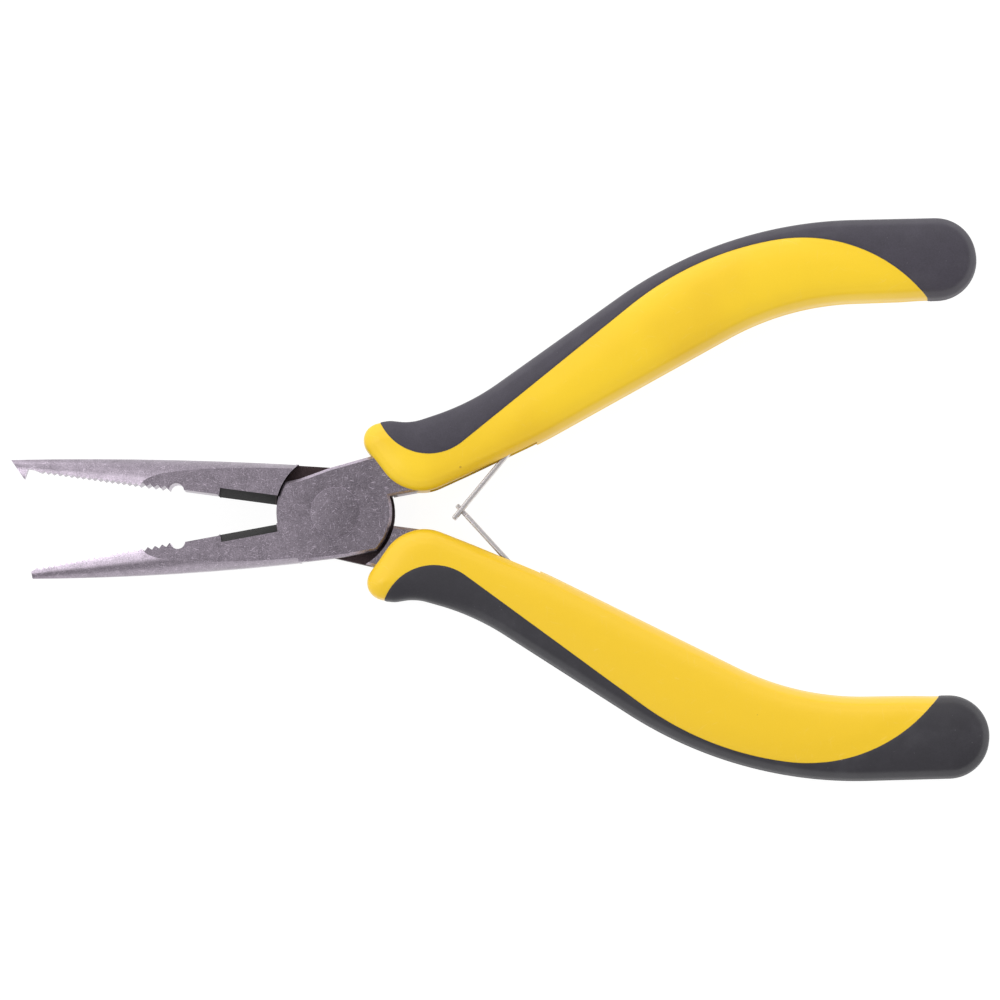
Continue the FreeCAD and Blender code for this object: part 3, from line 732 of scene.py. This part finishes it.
def gripSolid(face, wantHard):
    # both faces and the wall along the colour line, as one closed mesh
    spots, triangles, isHard, inset, fromLine = face
    chosen = triangles[isHard == wantHard]
    height = gripHeight(inset, spots[:, 0])
    if wantHard:
        sink = grip["proud"] * (1 - smooth(fromLine, grip["proudFrom"], grip["proudWidth"]))
    else:
        sink = grip["rubberRound"] * (1 - smooth(fromLine, 0.0, grip["roundWidth"]))
    # move along the surface's own slope, so that the side walls step in as well
    grade = np.zeros((len(spots), 3))
    solid = np.column_stack([spots, height])
    a, b, c = (solid[triangles[:, k]] for k in range(3))
    across = np.cross(b - a, c - a)
    across[across[:, 2] < 0] *= -1
    for k in range(3):
        np.add.at(grade, triangles[:, k], across)
    grade /= np.maximum(np.linalg.norm(grade, axis=1), 1e-12)[:, None]
    rim = inset == 0
    grade[rim, 2] = 0
    grade /= np.maximum(np.linalg.norm(grade, axis=1), 1e-12)[:, None]
    solid = solid - grade * sink[:, None]
    used = np.unique(chosen)
    top = {v: i for i, v in enumerate(used)}
    points = [solid[v] for v in used]
    bottom = {}
    for v in used:
        if rim[v]:
            bottom[v] = top[v]
        else:
            bottom[v] = len(points)
            points.append(solid[v] * (1, 1, -1))
    faces = []
    seen = {}
    for one, two, three in chosen:
        flat = np.cross(spots[two] - spots[one], spots[three] - spots[one])
        if flat < 0:
            two, three = three, two
        faces.append((top[one], top[two], top[three]))
        faces.append((bottom[one], bottom[three], bottom[two]))
        for pair in ((one, two), (two, three), (three, one)):
            key = tuple(sorted(pair))
            seen[key] = pair if key not in seen else None
    for pair in seen.values():
        if pair is None or (rim[pair[0]] and rim[pair[1]]):
            continue
        start, end = pair
        wall = [top[end], top[start], bottom[start], bottom[end]]
        wall = [v for i, v in enumerate(wall) if v != wall[i - 1]]
        faces.append(tuple(wall))
    return np.array(points), faces


def placeMesh(piece, lever):
    piece.data.transform(leverPlace[lever] @ Matrix.Scale(mm, 4))
    piece.data.update()


def applyModifiers(piece):
    bpy.context.view_layer.update()
    result = bpy.data.meshes.new_from_object(
        piece.evaluated_get(bpy.context.evaluated_depsgraph_get()))
    piece.modifiers.clear()
    piece.data = result


slot = {
    "start": 13.3,
    "end": 28.9,
    "width": 6.0,
    "bottom": -4.0,
    "past": 0.06,            # the slot just passes the steel's edge
    "tangInner": 0.8,        # height and climb of the steel inside the grip
    "tangClimb": 26.48,
    "tangLead": 0.7,
}


def tangLine(x):
    climb = slot["tangClimb"] / (grip["end"] - grip["front"])
    return slot["tangInner"] + (x - slot["start"] + slot["tangLead"]) * climb


def blockOver(corners, half):
    # a straight-sided block over a four-cornered outline
    points = [(x, y, z) for z in (-half, half) for x, y in corners]
    faces = [(3, 2, 1, 0), (4, 5, 6, 7), (0, 1, 5, 4), (1, 2, 6, 5), (2, 3, 7, 6), (3, 0, 4, 7)]
    return points, faces


def cutSlot(piece):
    first, last, bottom, past = slot["start"], slot["end"], slot["bottom"], slot["past"]
    corners = [(first, bottom), (last, bottom), (last, tangLine(last) + past),
               (first, tangLine(first) + past)]
    points, faces = blockOver(corners, slot["width"] / 2)
    mesh = bpy.data.meshes.new("slotTool")
    mesh.from_pydata(points, [], faces)
    tool = bpy.data.objects.new("slotTool", mesh)
    bpy.context.scene.collection.objects.link(tool)
    cut = piece.modifiers.new("slot", "BOOLEAN")
    cut.operation, cut.solver, cut.object = "DIFFERENCE", "EXACT", tool
    applyModifiers(piece)
    bpy.data.objects.remove(tool)


face = gripFace()
hardMesh = gripSolid(face, True)
softMesh = gripSolid(face, False)
for lever, handle in (("front", "upper"), ("rear", "lower")):
    body = lever + "_lever"
    shell = meshObject(handle + "_grip_shell", *hardMesh, makePlastic(handle))
    cutSlot(shell)
    softenShading(shell, grip["sharpAngle"])
    placeMesh(shell, lever)
    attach(shell, body)
    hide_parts(handle + "_grip_core")
    cover = meshObject(handle + "_grip_rubber", *softMesh, makeRubber(handle))
    softenShading(cover, grip["sharpAngle"])
    placeMesh(cover, lever)
    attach(cover, body)
    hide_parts(handle + "_grip_sleeve")
    print(handle, "grip:", len(shell.data.polygons), "and", len(cover.data.polygons), "faces")


# leaf springs

leaf = {
    "thick": 0.6,
    "width": 5.0,
    "anchor": 25.5,
    "angle": 39.85,
    "foot": 8.45,
    "bendRadius": 0.75,
    "tongueWidth": 2.0,
    "tongueStart": 0.95,
    "tonguePast": 0.85,
    "windowHalf": 1.3,
    "windowBack": 1.0,
    "windowPast": 0.95,
    "windowBar": 0.65,
    "edge": 0.12,
    # where the strip is divided, from the bend: finely round it and coarsely along the blade
    "marks": ([-6.0, -4.0, -2.5, -1.5] + [-1.2 + 0.12 * i for i in range(21)]
              + [1.6, 2.2, 3.0, 4.0, 5.0, 6.0, 7.0, 8.0, 9.0]),
    "markClear": 0.3,
    "tipMark": 0.5,
    "laneShare": 0.75,
    "edgeRound": 0.00009,
    "sharpAngle": 50,
    "blendFoot": 0.3,        # the strip turns between these distances from the bend
    "blendBlade": 2.2,
}
riseAngle = math.atan(slot["tangClimb"] / (grip["end"] - grip["front"]))


def leafBend():
    drop = leaf["thick"] / 2 / math.cos(riseAngle)
    return Vector((leaf["anchor"], tangLine(leaf["anchor"]) - drop))


def leafCross():
    bend = leafBend()
    height = bend.x * math.sin(openHalf) + bend.y * math.cos(openHalf)
    return height / math.sin(math.radians(leaf["angle"]) + openHalf)


def leafPath():
    # the bend, and the directions of the foot and the blade from it
    bend = leafBend()
    foot = Vector((math.cos(riseAngle), math.sin(riseAngle)))
    way = math.radians(180 + leaf["angle"])
    blade = Vector((math.cos(way), math.sin(way)))
    return bend, foot, blade


def leafSpot(distance):
    # point and direction on the centre line, at a distance past the middle of the round bend
    bend, foot, blade = leafPath()
    radius = leaf["bendRadius"]
    half = foot.angle(blade) / 2
    reach = radius / math.tan(half)
    sweep = math.pi - 2 * half
    arcLength = sweep * radius
    if distance <= -arcLength / 2:
        along = -distance - arcLength / 2 + reach
        return bend + foot * along, -foot
    if distance >= arcLength / 2:
        along = distance - arcLength / 2 + reach
        return bend + blade * along, blade
    centre = bend + (foot + blade).normalized() * (radius / math.sin(half))
    start = bend + foot * reach - centre
    share = (distance + arcLength / 2) / arcLength
    finish = bend + blade * reach - centre
    turn = start.angle_signed(finish) * share
    spoke = Matrix.Rotation(-turn, 2) @ start
    ahead = (finish - start).normalized()
    side = Vector((-spoke.y, spoke.x)).normalized()
    if side.dot(ahead) < 0:
        side = -side
    return centre + spoke, side


def leafMesh(tongued):
    # a strip with rounded long edges, wrapped along the centre line
    cross = leafCross()
    end = cross + (leaf["tonguePast"] if tongued else leaf["windowPast"] + leaf["windowBar"])
    marks = [-leaf["foot"]] + leaf["marks"]
    wide, slim = leaf["width"] / 2, leaf["tongueWidth"] / 2
    edge = leaf["edge"]
    if tongued:
        shoulder = cross - leaf["tongueStart"]
        marks = [m for m in marks if m < shoulder - leaf["markClear"]]
        marks += [shoulder - edge, shoulder, shoulder + edge, end - leaf["tipMark"],
                  end - edge, end]
    else:
        first, last = cross - leaf["windowBack"], cross + leaf["windowPast"]
        marks = [m for m in marks if m < first - leaf["markClear"]]
        marks += [first - edge, first, first + edge, last - edge, last, last + edge,
                  end - edge, end]
        slim = leaf["windowHalf"]
    lane = wide * leaf["laneShare"]
    lanes = [-wide, -wide + edge, -lane, -slim - edge, -slim, -slim + edge, 0.0,
             slim - edge, slim, slim + edge, lane, wide - edge, wide]
    present = []
    for i in range(len(marks) - 1):
        middle = (marks[i] + marks[i + 1]) / 2
        row = []
        for j in range(len(lanes) - 1):
            across = (lanes[j] + lanes[j + 1]) / 2
            if tongued:
                row.append(not (middle > shoulder and abs(across) > slim))
            else:
                row.append(not (first < middle < last and abs(across) < slim))
        present.append(row)
    half = leaf["thick"] / 2
    index, points = {}, []

    def vertex(i, j, side):
        key = (i, j, side)
        if key not in index:
            spot, ahead = leafSpot(marks[i])
            normal = Vector((-ahead.y, ahead.x))
            p = spot + normal * half * side
            index[key] = len(points)
            points.append((p.x, p.y, lanes[j]))
        return index[key]

    faces = []

    def has(i, j):
        return 0 <= i < len(present) and 0 <= j < len(present[0]) and present[i][j]

    for i, row in enumerate(present):
        for j, there in enumerate(row):
            if not there:
                continue
            for side in (1, -1):
                quad = [vertex(i, j, side), vertex(i + 1, j, side), vertex(i + 1, j + 1, side),
                        vertex(i, j + 1, side)]
                faces.append(quad if side > 0 else quad[::-1])
            borders = (((i, j - 1), (i, j), (i + 1, j)), ((i, j + 1), (i + 1, j + 1), (i, j + 1)),
                       ((i - 1, j), (i, j + 1), (i, j)), ((i + 1, j), (i + 1, j), (i + 1, j + 1)))
            for (ni, nj), one, two in borders:
                if not has(ni, nj):
                    faces.append([vertex(*two, 1), vertex(*one, 1), vertex(*one, -1),
                                  vertex(*two, -1)])
    return points, faces


spring = makePlainSteel("rolledSpringSteel", grey(0.62, (1.0, 0.95, 0.94)), 0.24, (0.4, 0.4, 5.0))
for lever, name, tongued in (("front", "slotted", False), ("rear", "tongued", True)):
    strip = meshObject(name + "_leaf_spring", *leafMesh(tongued), spring)
    placeMesh(strip, lever)
    edges = strip.modifiers.new("edges", "BEVEL")
    edges.width, edges.segments, edges.limit_method = leaf["edgeRound"], 2, "ANGLE"
    edges.angle_limit = math.radians(leaf["sharpAngle"])
    applyModifiers(strip)
    softenShading(strip, leaf["sharpAngle"])
    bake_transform(strip)
    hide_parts(name + "_leaf", name + "_leaf_foot")
print("leaf springs done")


# carried-over steel

for lever, node in (("front", "front_half"), ("rear", "rear_half")):
    forging = frame["nodes"][node]
    forging.data.materials.clear()
    forging.data.materials.append(makeSteel(lever))
rivetSteel = makePlainSteel("rivetSteel", grey(0.4), 0.34, (1.0, 1.0, 1.0))
for node in ("upper_leaf_rivet", "lower_leaf_rivet"):
    rivet = frame["nodes"][node]
    rivet.data.materials.clear()
    rivet.data.materials.append(rivetSteel)


def turnedMesh(name, profile, count, material):
    # a profile of (radius, height) turned about the pivot, closed at both ends
    points, faces = [], []
    for radius, height in profile:
        for k in range(count):
            angle = 2 * math.pi * k / count
            points.append((radius * math.cos(angle), radius * math.sin(angle), height))
    for row in range(len(profile) - 1):
        for k in range(count):
            after = (k + 1) % count
            faces.append((row * count + k, row * count + after,
                          (row + 1) * count + after, (row + 1) * count + k))
    last = (len(profile) - 1) * count
    faces.append(tuple(range(count))[::-1])
    faces.append(tuple(last + k for k in range(count)))
    return meshObject(name, points, faces, material)


rivetShape = {
    "head": 3.4,
    "shank": 2.6,
    "top": 4.0,
    "sink": 1.1,
    "gap": 0.04,
    "slack": 0.002,
    "edge": 0.06,
    "sides": 160,
}


def rivetProfile():
    # the head is peened out until it fills its countersink at the faces
    shape = rivetShape
    full, top = shape["head"] + shape["gap"] - shape["slack"], shape["top"]
    edge = shape["edge"]
    half = [(full - edge * 1.5, top), (full - edge * 0.4, top - edge * 0.25), (full, top - edge),
            (full - 0.02, top - edge * 2), (shape["shank"], top - shape["sink"])]
    return [(r, -z) for r, z in half] + [(r, z) for r, z in reversed(half)]


rivet = turnedMesh("flush_pivot_rivet", rivetProfile(), rivetShape["sides"],
                   makeSteel("front"))
softenShading(rivet, leaf["sharpAngle"])
placeMesh(rivet, "front")
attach(rivet, "front_lever")
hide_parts("pivot_rivet")
print("steel finished")


# floor, light and camera

studio = {
    "floorColour": (0.14, 0.14, 0.14),
    "floorGlow": 0.93,
    "worldStrength": 1.0,
    "upperSide": 0.42,       # how much brighter the room is towards +Y
    "jawSide": -0.22,
    "ramp": [(0.0, 1.0), (0.5, 1.1), (0.8, 1.0), (0.93, 0.62), (1.0, 0.48)],
    # place, aim, width and power of each lamp
    "keySoftBox": ((-0.35, 0.85, 0.9), (0, 0, 0), 0.9, 1.3),
    "noseSoftBox": ((-0.42, 0.02, 0.85), (-0.04, 0, 0), 0.35, 0.9),
    "floorHalf": 1.5,
    "floorRough": 0.9,
    "paperGrain": {"Scale": 900.0, "Contrast": 0.02},
    "lens": 300.0,
    "sensor": 36.0,
    "viewWidth": 137.5,
    "lean": 2.3,
    "roll": 1.43,
    "aim": (22.55, 1.81),
}

floorMesh = bpy.data.meshes.new("floor")
floorHalf = studio["floorHalf"]
floorMesh.from_pydata([(x * floorHalf, y * floorHalf, 0)
                       for x, y in ((-1, -1), (1, -1), (1, 1), (-1, 1))], [], [(0, 1, 2, 3)])
floor = bpy.data.objects.new("floor", floorMesh)
bpy.context.scene.collection.objects.link(floor)
paper, tree, shader = newMaterial("paleFloor")
onFloor = addNode(tree, "ShaderNodeTexCoord").outputs["Object"]
paperGrain = useGroup(tree, grainGroup, Place=onFloor, **studio["paperGrain"])
toned = toneWith(tree, studio["floorColour"], paperGrain.outputs["Tone"])
plug(tree, shader.inputs["Base Color"], toned)
shader.inputs["Roughness"].default_value = studio["floorRough"]
shader.inputs["Emission Color"].default_value = (1, 1, 1, 1)
shader.inputs["Emission Strength"].default_value = studio["floorGlow"]
floorMesh.materials.append(paper)

world = bpy.data.worlds.new("softStudio")
bpy.context.scene.world = world
world.use_nodes = True
tree = world.node_tree
background = tree.nodes["Background"]
direction = addNode(tree, "ShaderNodeTexCoord").outputs["Generated"]
parts = addNode(tree, "ShaderNodeSeparateXYZ", {0: direction})
ramp = addNode(tree, "ShaderNodeValToRGB", {0: parts.outputs[2]})
while len(ramp.color_ramp.elements) < len(studio["ramp"]):
    ramp.color_ramp.elements.new(0.5)
for element, (where, level) in zip(ramp.color_ramp.elements, studio["ramp"]):
    element.position = where
    element.color = (level, level, level, 1)
fade = calc(tree, "MULTIPLY_ADD", parts.outputs[1], studio["upperSide"],
            calc(tree, "MULTIPLY_ADD", parts.outputs[0], studio["jawSide"], 1.0))
plug(tree, background.inputs[0], toneWith(tree, ramp.outputs[0], fade))
background.inputs[1].default_value = studio["worldStrength"]


def softBox(name, place, aim, width, power):
    data = bpy.data.lights.new(name, "AREA")
    data.shape, data.size, data.energy = "SQUARE", width, power
    lamp = bpy.data.objects.new(name, data)
    lamp.location = place
    lamp.rotation_euler = (Vector(aim) - Vector(place)).to_track_quat("-Z", "Y").to_euler()
    bpy.context.scene.collection.objects.link(lamp)


for name in ("keySoftBox", "noseSoftBox"):
    softBox(name, *studio[name])

lean, roll = math.radians(studio["lean"]), math.radians(studio["roll"])
right = Vector((1, 0, 0))
up = Vector((0, math.cos(lean), math.sin(lean)))
turnedRight = right * math.cos(roll) - up * math.sin(roll)
turnedUp = right * math.sin(roll) + up * math.cos(roll)
back = turnedRight.cross(turnedUp)
data = bpy.data.cameras.new("camera")
data.lens, data.sensor_width = studio["lens"], studio["sensor"]
camera = bpy.data.objects.new("camera", data)
bpy.context.scene.collection.objects.link(camera)
target = pivot + (turnedRight * studio["aim"][0] + turnedUp * studio["aim"][1]) * mm
reach = studio["viewWidth"] * mm / 2 / (data.sensor_width / 2 / data.lens)
camera.matrix_world = (Matrix.Translation(target + back * reach)
                       @ Matrix((turnedRight, turnedUp, back)).transposed().to_4x4())
data.clip_start, data.clip_end = 0.01, 20.0
bpy.context.scene.camera = camera
bpy.context.scene.view_settings.view_transform = "Standard"
print("studio ready")

bpy.context.view_layer.update()
